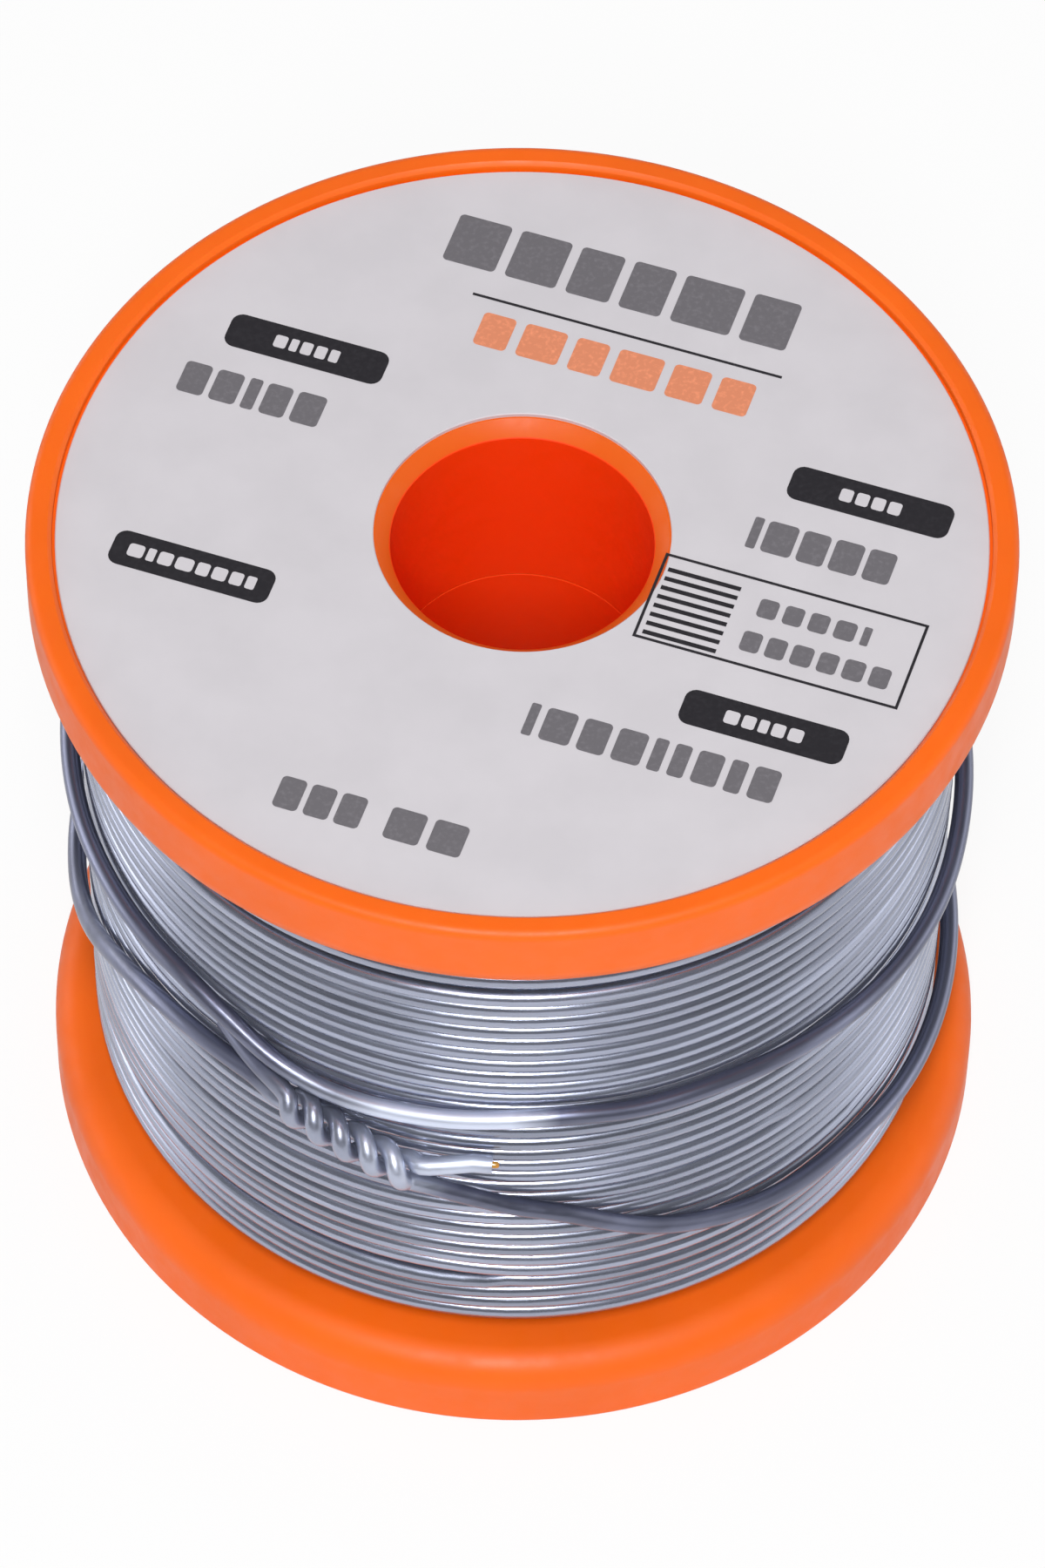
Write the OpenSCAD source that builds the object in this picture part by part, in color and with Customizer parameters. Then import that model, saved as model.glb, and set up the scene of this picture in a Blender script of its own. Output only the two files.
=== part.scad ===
// Solder wire spool: a two-part moulded spool, its label and a winding of
// flux-cored wire whose last two turns lie slack and end in a twist.
// Millimetres, +Z up, origin at the middle of the lower face.

/* [Spool] */
// Diameter of both flanges
flange_d = 60; // [56:1:80]
// Height of the spool from face to face
spool_h = 55; // [48:1:80]
// Thickness of a flange at its rim
flange_t = 6; // [5:0.5:8]
// Diameter of the bore that takes the spindle
bore_d = 16; // [12:0.5:17]
// Outside diameter of the hub that carries the winding
hub_d = 23; // [21.5:0.5:28]

/* [Moulding] */
// Thickness of the flat web that faces the winding
web_t = 2; // [1.2:0.1:2.6]
// Width of the rim, from its outside to the pockets
rim_w = 3.2; // [2.8:0.1:4.5]
// Width of the raised lip outside the label seat
lip_w = 1.6; // [1.2:0.1:2.2]
// Rounding of the rim towards the winding
rim_round = 2.2; // [0.8:0.1:3]
// Rounding of the rim's outer edge
edge_round = 0.6; // [0.2:0.1:1]
// Size of the lead-in chamfer at each end of the bore
lead_in = 0.9; // [0.3:0.1:1.1]
// Number of ribs that stiffen a flange
rib_count = 12; // [6:1:16]
// Thickness of a rib
rib_t = 1.4; // [0.8:0.1:2]
// Diameter of the ring that joins the ribs
rib_ring_d = 38; // [32:1:44]

/* [Hub joint] */
// Height at which the two halves meet
joint_z = 27.5; // [22:0.5:32]
// Length of the spigot that enters the upper half
spigot_len = 12; // [8:0.5:16]
// Wall of the spigot
spigot_t = 1.7; // [1.2:0.1:2.2]
// Radial clearance of the spigot in its socket
spigot_gap = 0.05; // [0.03:0.01:0.15]
// Gap between faces that meet end to end
face_gap = 0.1; // [0.05:0.05:0.3]
// Number of keys that stop the halves from turning
key_count = 3; // [2:1:5]
// Width of a key round the hub, in degrees
key_angle = 24; // [12:1:40]
// Height of a key
key_h = 2; // [1:0.5:4]
// Height of the snap bead on the spigot
bead_h = 0.25; // [0.1:0.05:0.35]

/* [Label] */
// Gap round the label in its seat
label_gap = 0.2; // [0.1:0.05:1]
// Distance of the label's hole from the bore
label_margin = 1; // [0:0.1:2]
// Thickness of the label
label_t = 0.3; // [0.1:0.05:0.6]
// Depth of the seat below the lip
seat_depth = 0.8; // [0.5:0.1:1.2]

/* [Wire] */
// Diameter of the solder wire
wire_d = 1.2; // [0.8:0.1:1.2]
// Diameter over the outer layer of the winding
winding_d = 54.5; // [44:0.5:54.5]
// Turns drawn in the outer layer
turns = 24; // [10:1:24]
// Height at which the outer layer starts above the foot of the layer below
base_gap = 1.9; // [0:0.1:2]
// Gap between a slack strand and the layer it lies on
lay_gap = 0.15; // [0.1:0.05:0.3]
// Diameter of the flux core
flux_d = 0.4; // [0.2:0.05:0.5]
// Diameter of the hole that holds the start of the wire
start_hole_d = 1.8; // [1.6:0.1:2.2]
// Clearance of the wire's start from the rib ring
start_gap = 0.4; // [0.2:0.1:1]

/* [Slack wire] */
// Height of the upper slack turn at the front
upper_turn_z = 33; // [30:0.5:36]
// Lowest height of the lower slack turn
lower_turn_z = 14; // [10:0.5:18]
// Where the twist begins, in degrees round the spool
twist_angle = 241; // [240:0.5:243]
// Length of the twist in which a strand goes once round
twist_pitch = 3.7; // [3.5:0.1:3.9]
// Gap between the two strands of the twist where they face each other
twist_gap = 0.3; // [0.3:0.05:0.5]
// Half turns in the twist
twist_halves = 5; // [3:2:5]

/* [Hidden] */
$fn = 96;

orange = "#F9702E";
label_white = "#D2CBD1";
solder = "#A9AEBB";
dark_solder = "#70748A";
flux_amber = "#C98F3A";

flange_r = flange_d / 2;
bore_r = bore_d / 2;
hub_r = hub_d / 2;
wire_r = wire_d / 2;
seat_r = flange_r - lip_w;
label_r = seat_r - label_gap;
label_hole_r = bore_r + label_margin;
pocket_r = flange_r - rim_w;
web_z = flange_t - web_t;
spigot_r = bore_r + spigot_t;
socket_r = spigot_r + spigot_gap;
spigot_z = joint_z + spigot_len;
bead_inset = 3;
bead_z = spigot_z - bead_inset;
bead_half = 0.8;
spigot_tip = 0.5;
lip_edge = 0.25;
key_gap = 0.2;
key_root = 0.4;
key_inset = 0.15;
notch_angle = key_angle + 2 * key_gap / hub_r * 180 / PI;
rib_bite = 0.5;
round_steps = 8;

// Hub boss under the label: the ring that the middle of the label rests on
boss_r = hub_r + 0.9;

// The winding, between the flanges
layer_r = winding_d / 2 - wire_r;
layer_end = flange_t + face_gap + wire_r;
layer_z = layer_end + base_gap;
layer_pitch = (spool_h - layer_end - layer_z) / turns;
loop_steps = 24;
wire_sides = 6;
core_gap = 0.08;
core_r = layer_r * cos(180 / loop_steps) - wire_r - core_gap;
slack_r = winding_d / 2 + lay_gap + wire_r;

// The hole for the wire's start, in the middle of a pocket beside the hub
start_angle = 360 / rib_count * 3.5;
start_r = boss_r + start_hole_d / 2;
start_bend = 1.25 * wire_d;
start_drop = 1.1;
start_tip = rib_ring_d / 2 - rib_t / 2 - start_gap;
start_sides = 8;

// Slack wire. Each strand ends face to face with the next at a half turn from
// the front, and runs on round the spool, so its angles pass 360.
lower_end_angle = 540;
upper_end_angle = 900;
twist_lift_ratio = 0.63;
twist_high_ratio = 0.853;
twist_low_ratio = 0.655;

// [degrees round the spool, height as a share from lower_turn_z to
// upper_turn_z, lift off the winding in wire diameters]
LOWER_TURN = [
    [236, 0.895, 0], [241, 0.887, twist_lift_ratio], [260, 0.615, twist_lift_ratio],
    [269, 0.47, 0], [276, 0.42, 0], [288, 0.245, 0], [301, 0.13, 0],
    [311, 0.092, 0], [321, 0.075, 0], [332, 0.025, 0], [345, 0, 0],
    [358, 0, 0], [372, 0.03, 0], [400, 0.21, 0], [430, 0.45, 0],
    [460, 0.684, 0], [480, 0.842, 0], [500, 0.963, 0], [520, 1.05, 0],
    [lower_end_angle, 1.1, 0]
];
UPPER_TURN = [
    [lower_end_angle, 1.1, 0], [555, 1.09, 0], [566, 1.1, 0],
    [577, 1.1, 0], [585, 1.095, 0], [592, 1.047, 0], [600, 0.963, 0],
    [608, 0.93, 0], [620, 0.945, 0], [636, 0.985, 0], [646, 0.968, 0],
    [657, 0.968, 0], [669, 0.937, 0], [680, 0.897, 0], [691, 0.863, 0],
    [702, 0.845, 0], [712, 0.865, 0], [720, 0.89, 0],
    [735, 0.915, 0], [755, 0.92, 0], [775, 0.895, 0], [790, 0.858, 0],
    [806, 0.81, 0.15], [814, 0.776, 1.13], [832, 0.69, 1.13],
    [842, 0.642, 0.4], [852, 0.595, 0], [870, 0.51, 0], [885, 0.44, 0],
    [upper_end_angle, 0.395, 0]
];
FREE_END = [
    [upper_end_angle, 0.395, 0], [912, 0.463, 0], [920, 0.568, 0],
    [927, 0.679, 0], [935, 0.774, 0], [942, 0.816, 0], [949, 0.826, 0],
    [956, 0.821, 0], [961, 0.82, twist_lift_ratio]
];
twist_r = (wire_d + twist_gap) / 2;
twist_rise = (twist_low_ratio - twist_high_ratio) * (upper_turn_z - lower_turn_z);
twist_tilt = asin(twist_rise / (twist_pitch * twist_halves / 2));
twist_arc = twist_pitch * twist_halves / 2 * cos(twist_tilt) / slack_r * 180 / PI;
twist_to = twist_angle + twist_arc;
twist_steps = 26;
lead_angle = 2;
step_angle = 7.5;

// Tip of the free end, in degrees past the twist
TIP = [[0, 0.69, twist_lift_ratio], [3.5, 0.7, 0.25], [7, 0.715, 0.1]];

// ---- Profiles ----

function arc(x, y, r, from, to) = [
    for (i = [0:round_steps])
        let (a = from + (to - from) * i / round_steps)
        [x + r * cos(a), y + r * sin(a)]
];

// Flange from the bore out, round the rim and back to the hub; its face is at 0
function flange_outline() = concat(
    [
        [bore_r, seat_depth + lead_in],
        [bore_r + lead_in, seat_depth],
        [boss_r, seat_depth],
        [boss_r, web_z],
        [pocket_r, web_z],
        [pocket_r, seat_depth],
        [seat_r, seat_depth],
        [seat_r, lip_edge],
        [seat_r + lip_edge, 0]
    ],
    arc(flange_r - edge_round, edge_round, edge_round, -90, 0),
    arc(flange_r - rim_round, flange_t - rim_round, rim_round, 0, 90),
    [[hub_r, flange_t]]
);

// Raised ring on the spigot's side, as a low cone each way
function bead(r, h, z, half) = [[r, z - half], [r + h, z], [r, z + half]];

module ring(outer, inner, h) {
    difference() {
        cylinder(h = h, r = outer);
        translate([0, 0, -1])
            cylinder(h = h + 2, r = inner);
    }
}

// Ribs from the hub boss to the rim and the ring across them, under the web
module ribs() {
    rib_h = web_z + web_t / 2 - seat_depth;
    translate([0, 0, seat_depth]) {
        for (i = [0:rib_count - 1])
            rotate([0, 0, i * 360 / rib_count])
                translate([hub_r, -rib_t / 2, 0])
                    cube([pocket_r + rib_bite - hub_r, rib_t, rib_h]);
        ring(rib_ring_d / 2 + rib_t / 2, rib_ring_d / 2 - rib_t / 2, rib_h);
    }
}

// Key sectors round the hub joint
module keys(inner, outer, width, h) {
    for (i = [0:key_count - 1])
        rotate([0, 0, i * 360 / key_count - width / 2])
            rotate_extrude(angle = width)
                translate([inner, 0])
                    square([outer - inner, h]);
}

// ---- Spool ----

module lower_half() {
    color(orange)
        difference() {
            union() {
                rotate_extrude()
                    polygon(concat(
                        flange_outline(),
                        [[hub_r, joint_z], [spigot_r, joint_z]],
                        bead(spigot_r, bead_h, bead_z, bead_half),
                        [
                            [spigot_r, spigot_z - spigot_tip],
                            [spigot_r - spigot_tip, spigot_z],
                            [bore_r, spigot_z]
                        ]
                    ));
                ribs();
                translate([0, 0, joint_z - key_root])
                    keys(spigot_r - key_root, hub_r - key_inset, key_angle, key_h + key_root);
            }
            rotate([0, 0, start_angle])
                translate([start_r, 0, web_z - 1])
                    cylinder(h = web_t + 2, d = start_hole_d);
        }
}

// Drawn from its face inwards, then turned over to the top
module upper_half() {
    meet_z = spool_h - joint_z - face_gap;
    bottom_z = spool_h - spigot_z - face_gap;
    color(orange)
        translate([0, 0, spool_h])
            rotate([180, 0, 0])
                difference() {
                    union() {
                        rotate_extrude()
                            polygon(concat(
                                flange_outline(),
                                [[hub_r, meet_z], [socket_r, meet_z]],
                                bead(socket_r, bead_h, spool_h - bead_z, bead_half),
                                [[socket_r, bottom_z], [bore_r, bottom_z]]
                            ));
                        ribs();
                    }
                    translate([0, 0, meet_z - key_h - key_gap])
                        keys(socket_r - key_gap, hub_r + key_gap, notch_angle, key_h + 2 * key_gap);
                }
}

module label() {
    color(label_white)
        translate([0, 0, spool_h - seat_depth])
            difference() {
                cylinder(h = label_t, r = label_r);
                translate([0, 0, -1])
                    cylinder(h = label_t + 2, r = label_hole_r);
            }
}

// ---- Winding ----

module winding_core() {
    color(solder)
        translate([0, 0, flange_t + face_gap])
            difference() {
                cylinder(h = spool_h - 2 * (flange_t + face_gap), r = core_r);
                translate([0, 0, -1])
                    cylinder(h = spool_h, r = hub_r + face_gap);
            }
}

function unit(v) = v / norm(v);

// Directions along a row of points; a given first or last one replaces the chord
function headings(p, first, last) = [
    for (i = [0:len(p) - 1])
        i == 0 && first != undef ? first
        : i == len(p) - 1 && last != undef ? last
        : unit(p[min(i + 1, len(p) - 1)] - p[max(i - 1, 0)])
];

function wire_ring(p, along, side, sides) =
    let (n = unit(side - (side * along) * along), b = cross(along, n))
    [for (k = [0:sides - 1]) p + wire_r * (cos(360 * k / sides) * n + sin(360 * k / sides) * b)];

// One unbroken tube through the points, with flat ends
module wire(p, along, side, sides) {
    n = len(p);
    points = [for (i = [0:n - 1]) each wire_ring(p[i], along[i], side[i], sides)];
    wall = [
        for (i = [0:n - 2], k = [0:sides - 1])
            let (a = i * sides + k, b = i * sides + (k + 1) % sides)
            each [[a, a + sides, b], [b, a + sides, b + sides]]
    ];
    start = [for (k = [1:sides - 2]) [0, k, k + 1]];
    end = [for (k = [1:sides - 2]) (n - 1) * sides * [1, 1, 1] + [0, k + 1, k]];
    polyhedron(points = points, faces = concat(wall, start, end), convexity = 10);
}

function outward(p) = [for (q = p) [q[0], q[1], 0]];

// Least distance between parts of a route that lie more than skip points apart
function least_gap(p, skip, reach) = min([
    for (i = [0:len(p) - 1 - skip], j = [i + skip:min(i + reach, len(p) - 1)])
        norm(p[i] - p[j])
]) - wire_d;

function layer_route() =
    let (
        n = turns * loop_steps,
        run = [
            for (i = [0:n])
                let (a = 360 * i / loop_steps)
                [layer_r * cos(a), layer_r * sin(a), layer_z + layer_pitch * i / loop_steps]
        ]
    )
    concat([run[0] - [0, wire_d, 0]], run, [run[n] + [0, wire_d, 0]]);

module winding_outer_layer() {
    p = layer_route();
    echo(str("least gap of winding_outer_layer: ", least_gap(p, loop_steps / 2, 2 * loop_steps)));
    color(solder)
        wire(p, headings(p, [0, 1, 0], [0, 1, 0]), outward(p), wire_sides);
}

// ---- Slack wire ----

function span_of(s, t, i = 0) = i >= len(s) - 2 || t < s[i + 1][0] ? i : span_of(s, t, i + 1);

function slope(s, i, c) =
    i <= 0 || i >= len(s) - 1 ? 0 : (s[i + 1][c] - s[i - 1][c]) / (s[i + 1][0] - s[i - 1][0]);

// Smooth curve through the stations
function curve(s, t, c) =
    let (
        i = span_of(s, t),
        h = s[i + 1][0] - s[i][0],
        u = (t - s[i][0]) / h
    )
    s[i][c] * (2 * u ^ 3 - 3 * u ^ 2 + 1) + slope(s, i, c) * h * (u ^ 3 - 2 * u ^ 2 + u)
    + s[i + 1][c] * (3 * u ^ 2 - 2 * u ^ 3) + slope(s, i + 1, c) * h * (u ^ 3 - u ^ 2);

// Eased step from station to station, which never dips below them
function ease(s, t, c) =
    let (i = span_of(s, t), u = (t - s[i][0]) / (s[i + 1][0] - s[i][0]))
    s[i][c] + (s[i + 1][c] - s[i][c]) * (3 * u ^ 2 - 2 * u ^ 3);

function on_spool(t, r, z) = [r * cos(t), r * sin(t), z];

function slack_height(share) = lower_turn_z + share * (upper_turn_z - lower_turn_z);

function strand(s, from, to, steps) = [
    for (i = [0:steps])
        let (t = from + (to - from) * i / steps)
        on_spool(t, slack_r + wire_d * ease(s, t, 2), slack_height(curve(s, t, 1)))
];

// One strand of the twist: side is 1 for the strand that starts above
function twisted(side) = [
    for (i = [0:twist_steps])
        let (
            u = i / twist_steps,
            phase = 180 * twist_halves * u,
            z = slack_height(twist_high_ratio) + twist_rise * u,
            across = side * twist_r * cos(phase),
            shift = -across * sin(twist_tilt) / slack_r * 180 / PI
        )
        on_spool(
            twist_angle + twist_arc * u + shift,
            slack_r + twist_r * (1 + side * sin(phase)),
            z + across * cos(twist_tilt)
        )
];

function round_spool(t) = [-sin(t), cos(t), 0];

module slack_strand(p, first, last) {
    wire(p, headings(p, round_spool(first), round_spool(last)), outward(p), wire_sides);
}

module slack_turn_lower() {
    start = LOWER_TURN[0][0];
    after = twist_to + 2 * lead_angle;
    p = concat(
        strand(LOWER_TURN, start, twist_angle - lead_angle, 1),
        twisted(1),
        strand(LOWER_TURN, after, lower_end_angle, round((lower_end_angle - after) / step_angle))
    );
    echo(str("least gap of slack_turn_lower: ", least_gap(p, loop_steps, len(p))));
    color(dark_solder)
        slack_strand(p, start, lower_end_angle);
}

module slack_turn_upper() {
    steps = (upper_end_angle - lower_end_angle) / step_angle;
    p = strand(UPPER_TURN, lower_end_angle, upper_end_angle, steps);
    echo(str("least gap of slack_turn_upper: ", least_gap(p, loop_steps, len(p))));
    color(dark_solder)
        slack_strand(p, lower_end_angle, upper_end_angle);
}

tip_angle = twist_to + TIP[2][0];
tip_point = on_spool(tip_angle, slack_r + wire_d * TIP[2][2], slack_height(TIP[2][1]));
tip_end = tip_point + wire_d * round_spool(tip_angle);

module free_end() {
    p = concat(
        strand(FREE_END, upper_end_angle, 720 + twist_angle - lead_angle, 9),
        twisted(-1),
        strand([for (s = TIP) [twist_to + s[0], s[1], s[2]]], twist_to + TIP[1][0], tip_angle, 1),
        [tip_end]
    );
    color(dark_solder)
        slack_strand(p, upper_end_angle, tip_angle);
}

// The flux shows as a nub on the cut end
module flux_core() {
    color(flux_amber)
        translate(tip_end)
            rotate([0, 0, tip_angle])
                rotate([-90, 0, 0])
                    cylinder(h = flux_d, d = flux_d, $fn = 24);
}

// Down through the web and outwards along a pocket
module wire_start() {
    bend_z = web_z - start_drop + start_bend;
    bend = [
        for (i = [0:5])
            let (a = 90 * i / 5)
            [start_r + start_bend * (1 - cos(a)), 0, bend_z - start_bend * sin(a)]
    ];
    p = concat(
        [[start_r, 0, flange_t + face_gap]],
        bend,
        [[start_tip, 0, bend_z - start_bend]]
    );
    side = [for (q = p) [0, 1, 0]];
    color(solder)
        rotate([0, 0, start_angle])
            wire(p, headings(p, [0, 0, -1], [1, 0, 0]), side, start_sides);
}

lower_half();
upper_half();
label();
winding_core();
winding_outer_layer();
slack_turn_upper();
slack_turn_lower();
free_end();
flux_core();
wire_start();
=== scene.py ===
"""Solder wire spool: the two moulded halves, the label and its print, the level
winding of flux-cored wire and its slack last turns, dressed round the fixed frame."""

import math

import bmesh
import bpy
from bpy.props import FloatProperty, FloatVectorProperty, IntProperty, PointerProperty
from mathutils import Matrix, Vector, noise


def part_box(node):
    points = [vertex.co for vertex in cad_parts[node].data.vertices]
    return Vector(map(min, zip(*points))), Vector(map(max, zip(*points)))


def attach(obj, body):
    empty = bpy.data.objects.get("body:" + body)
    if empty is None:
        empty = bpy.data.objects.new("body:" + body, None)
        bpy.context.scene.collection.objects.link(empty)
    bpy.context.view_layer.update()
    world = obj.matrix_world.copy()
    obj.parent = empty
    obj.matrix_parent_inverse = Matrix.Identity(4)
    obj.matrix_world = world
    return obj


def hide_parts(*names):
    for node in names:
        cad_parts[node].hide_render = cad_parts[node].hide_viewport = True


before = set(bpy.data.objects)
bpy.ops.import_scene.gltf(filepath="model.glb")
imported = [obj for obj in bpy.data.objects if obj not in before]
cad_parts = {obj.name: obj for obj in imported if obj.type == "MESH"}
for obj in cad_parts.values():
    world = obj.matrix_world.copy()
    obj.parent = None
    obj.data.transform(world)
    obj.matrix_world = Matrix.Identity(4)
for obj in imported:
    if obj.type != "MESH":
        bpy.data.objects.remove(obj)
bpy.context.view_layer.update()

bl_info = {
    "name": "Solder wire spool",
    "version": (1, 0, 0),
    "blender": (4, 5, 0),
    "location": "View3D > Sidebar > Solder spool",
    "description": "Models a two-part moulded spool, its label and its winding of solder wire",
    "category": "Object",
}

MM = 0.001
BODY = "root"

# ---- Sizes that the frame settles ----

LOWER_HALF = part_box("lower_half")
UPPER_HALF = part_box("upper_half")
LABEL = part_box("label")
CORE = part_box("winding_core")
OUTER_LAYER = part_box("winding_outer_layer")
WIRE_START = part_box("wire_start")
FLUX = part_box("flux_core")


def width(box):
    return box[1].x - box[0].x


def linear(hex_colour):
    """A colour written as sRGB hex, as the linear numbers that shaders take."""
    values = [int(hex_colour[i:i + 2], 16) / 255 for i in (1, 3, 5)]
    return [v / 12.92 if v <= 0.04045 else ((v + 0.055) / 1.055) ** 2.4 for v in values]


def length(name, description, default):
    return FloatProperty(
        name=name, description=description, default=default, unit="LENGTH", precision=5
    )


def turned_by(name, description, degrees):
    return FloatProperty(
        name=name, description=description, default=math.radians(degrees), unit="ROTATION"
    )


def count_of(name, description, default, least):
    return IntProperty(name=name, description=description, default=default, min=least)


def colour(name, description, hex_colour):
    return FloatVectorProperty(
        name=name, description=description, default=linear(hex_colour),
        subtype="COLOR", min=0, max=1
    )


class SpoolSizes(bpy.types.PropertyGroup):
    """Sizes of the moulded halves and the label."""

    flange_d: length("Flange", "Diameter of both flanges", width(UPPER_HALF))
    height: length("Height", "From face to face", UPPER_HALF[1].z)
    flange_t: length("Flange thickness", "At the rim", CORE[0].z - 0.1 * MM)
    bore_d: length("Bore", "Diameter of the hole for the spindle", 16 * MM)
    hub_d: length("Hub", "Outside diameter of the hub", 23 * MM)
    web_t: length("Web", "Thickness of the web that faces the winding", 2 * MM)
    rim_w: length("Rim", "Width of the rim outside the pockets", 3.2 * MM)
    lip_w: length("Lip", "Width of the lip outside the label seat", 1.6 * MM)
    rim_round: length("Rim rounding", "On the side of the winding", 2.2 * MM)
    edge_round: length("Edge rounding", "On the outer edge of the rim", 0.6 * MM)
    lead_in: length("Lead-in", "Chamfer at each end of the bore", 0.9 * MM)
    seat_depth: length("Label seat", "Depth of the seat below the lip", 0.8 * MM)
    rib_count: count_of("Ribs", "Ribs under each flange", 12, 3)
    rib_t: length("Rib", "Thickness of a rib", 1.4 * MM)
    rib_ring_d: length("Rib ring", "Diameter of the ring across the ribs", 38 * MM)
    joint_z: length("Joint", "Height at which the halves meet", UPPER_HALF[0].z - 0.1 * MM)
    spigot_t: length("Spigot", "Wall of the spigot inside the hub", 1.7 * MM)
    hole_d: length("Start hole", "Hole in the lower web that holds the wire's start", 1.8 * MM)
    label_d: length("Label", "Diameter of the label", width(LABEL))
    label_hole_d: length("Label hole", "Diameter of the hole in the label", 18 * MM)
    label_t: length("Label thickness", "Thickness of the card", LABEL[1].z - LABEL[0].z)
    print_turn: turned_by("Print turn", "Angle of the printed rows on the label", -17.9)


class WireSizes(bpy.types.PropertyGroup):
    """Sizes of the wire and of its slack turns."""

    wire_d: length("Wire", "Diameter of the solder wire", 1.2 * MM)
    flux_d: length("Flux core", "Diameter of the flux core", width(FLUX))
    winding_d: length("Winding", "Diameter over the outer layer", width(OUTER_LAYER))
    turns: count_of("Turns", "Turns that fit between the flanges", 34, 3)
    lay_gap: length("Lay", "Gap between a slack strand and the layer", 0.15 * MM)
    upper_turn_z: length("Upper turn", "Height of the upper slack turn at the front", 33 * MM)
    lower_turn_z: length("Lower turn", "Lowest height of the lower slack turn", 14 * MM)
    twist_pitch: length("Twist pitch", "Length in which a strand goes once round", 3.7 * MM)
    twist_gap: length("Twist gap", "Gap between the strands of the twist", 0.3 * MM)
    twist_angle: turned_by("Twist start", "Where the twist begins, round the spool", 241)


class SpoolColours(bpy.types.PropertyGroup):
    """Colours of the finishes."""

    plastic: colour("Plastic", "Orange of the moulded halves", "#FC6A08")
    # Painted bounce light: the bore's deeper red-orange stands in for light bouncing round inside
    # it
    bore: colour("Bore", "Deeper orange painted in the bore for its bounce light", "#FF4206")
    card: colour("Card", "Pale grey of the coated label", "#D2CED3")
    black_ink: colour("Black ink", "Ink of the bars and lines", "#28262B")
    grey_ink: colour("Grey ink", "Ink of the plain rows", "#6E6B70")
    orange_ink: colour("Orange ink", "Ink of the orange row", "#DE8A66")
    solder: colour("Solder", "Drawn tin-lead wire in the winding", "#B4BACF")
    # Painted reflection: the slack turns are darker than the winding to stand in for the dark room
    # they mirror
    slack_solder_painted_dark: colour("Slack solder painted dark", "Slack wire painted darker for the dark room it mirrors", "#7C8098")
    flux: colour("Flux", "Amber rosin in the core of the wire", "#C98F3A")


# ---- Mesh helpers ----

MERGE = 0.001 * MM
SHARP_ANGLE = math.radians(35)
BEVEL_ANGLE = math.radians(30)
EDGE_BREAK = 0.12 * MM


def new_object(name, data):
    made = bpy.data.objects.new(name, data)
    bpy.context.scene.collection.objects.link(made)
    return made


def mesh_from(bm, name):
    mesh = bpy.data.meshes.new(name)
    bm.to_mesh(mesh)
    bm.free()
    return mesh


def finish_piece(piece, material, nodes=()):
    """Shades a piece, rides it on the spool and hides the nodes it stands for."""
    piece.data.shade_smooth()
    piece.data.set_sharp_from_angle(angle=SHARP_ANGLE)
    piece.data.materials.clear()
    piece.data.materials.append(material)
    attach(piece, BODY)
    if nodes:
        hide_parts(*nodes)


def add_bevel(piece):
    """Breaks the moulding's edges."""
    made = piece.modifiers.new("edge rounding", "BEVEL")
    made.width = EDGE_BREAK
    made.segments = 2
    made.limit_method = "ANGLE"
    made.angle_limit = BEVEL_ANGLE


def add_flat_shading(piece):
    """Large faces keep their own normals beside the small rounded edges."""
    made = piece.modifiers.new("flat shading", "WEIGHTED_NORMAL")
    made.keep_sharp = True


def apply_modifiers(piece):
    """Makes the modified shape the piece's own mesh."""
    graph = bpy.context.evaluated_depsgraph_get()
    bm = bmesh.new()
    bm.from_object(piece, graph)
    bmesh.ops.remove_doubles(bm, verts=bm.verts, dist=MERGE)
    piece.modifiers.clear()
    piece.data = mesh_from(bm, piece.name)


def arc(x, z, r, start, end, steps):
    """Points of an arc in the plane of a profile, angles in degrees."""
    angles = [math.radians(start + (end - start) * i / steps) for i in range(steps + 1)]
    return [(x + r * math.cos(a), z + r * math.sin(a)) for a in angles]


def spin_profile(points, steps, closed=True):
    """A profile of (radius, height) points turned round the bore's axis."""
    bm = bmesh.new()
    corners = [bm.verts.new((x, 0, z)) for x, z in points]
    for a, b in zip(corners, corners[1:] + corners[:closed]):
        bm.edges.new((a, b))
    bmesh.ops.spin(
        bm, geom=bm.verts[:] + bm.edges[:], cent=(0, 0, 0), axis=(0, 0, 1),
        angle=math.tau, steps=steps, use_merge=True
    )
    bmesh.ops.recalc_face_normals(bm, faces=bm.faces)
    return bm


# ---- The moulded halves ----

# Steps round one rib's sector, round the spool, and round the two edges of the rim
SECTOR_STEPS = 16
SPIN_STEPS = 12 * SECTOR_STEPS
EDGE_STEPS = 5
RIM_STEPS = 12
# Share of a sector's step that stays free beside the corner of a pocket
CORNER_CLEAR = 0.6
LIP_EDGE = 0.25 * MM
BOSS_W = 0.9 * MM
DRAFT = 0.08 * MM
# The joint in the hub: gaps, the spigot's chamfer and the snap bead
SPIGOT_GAP = 0.05 * MM
FACE_GAP = 0.1 * MM
SPIGOT_TIP = 0.5 * MM
BEAD_H = 0.25 * MM
BEAD_HALF = 0.8 * MM
BEAD_INSET = 3 * MM
# The start hole: the pocket that it lies in, counted in sectors, and its steps
START_POCKET = 3.5
HOLE_STEPS = 48


def flange_outline(s):
    """From the edge of the label seat round the rim and back to the hub, face at 0."""
    flange, seat = s.flange_d / 2, s.flange_d / 2 - s.lip_w
    lip = [(seat, s.seat_depth), (seat, LIP_EDGE), (seat + LIP_EDGE, 0)]
    edge = arc(flange - s.edge_round, s.edge_round, s.edge_round, -90, 0, EDGE_STEPS)
    rim = arc(flange - s.rim_round, s.flange_t - s.rim_round, s.rim_round, 0, 90, RIM_STEPS)
    return lip + edge + rim + [(s.hub_d / 2, s.flange_t)]


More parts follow.
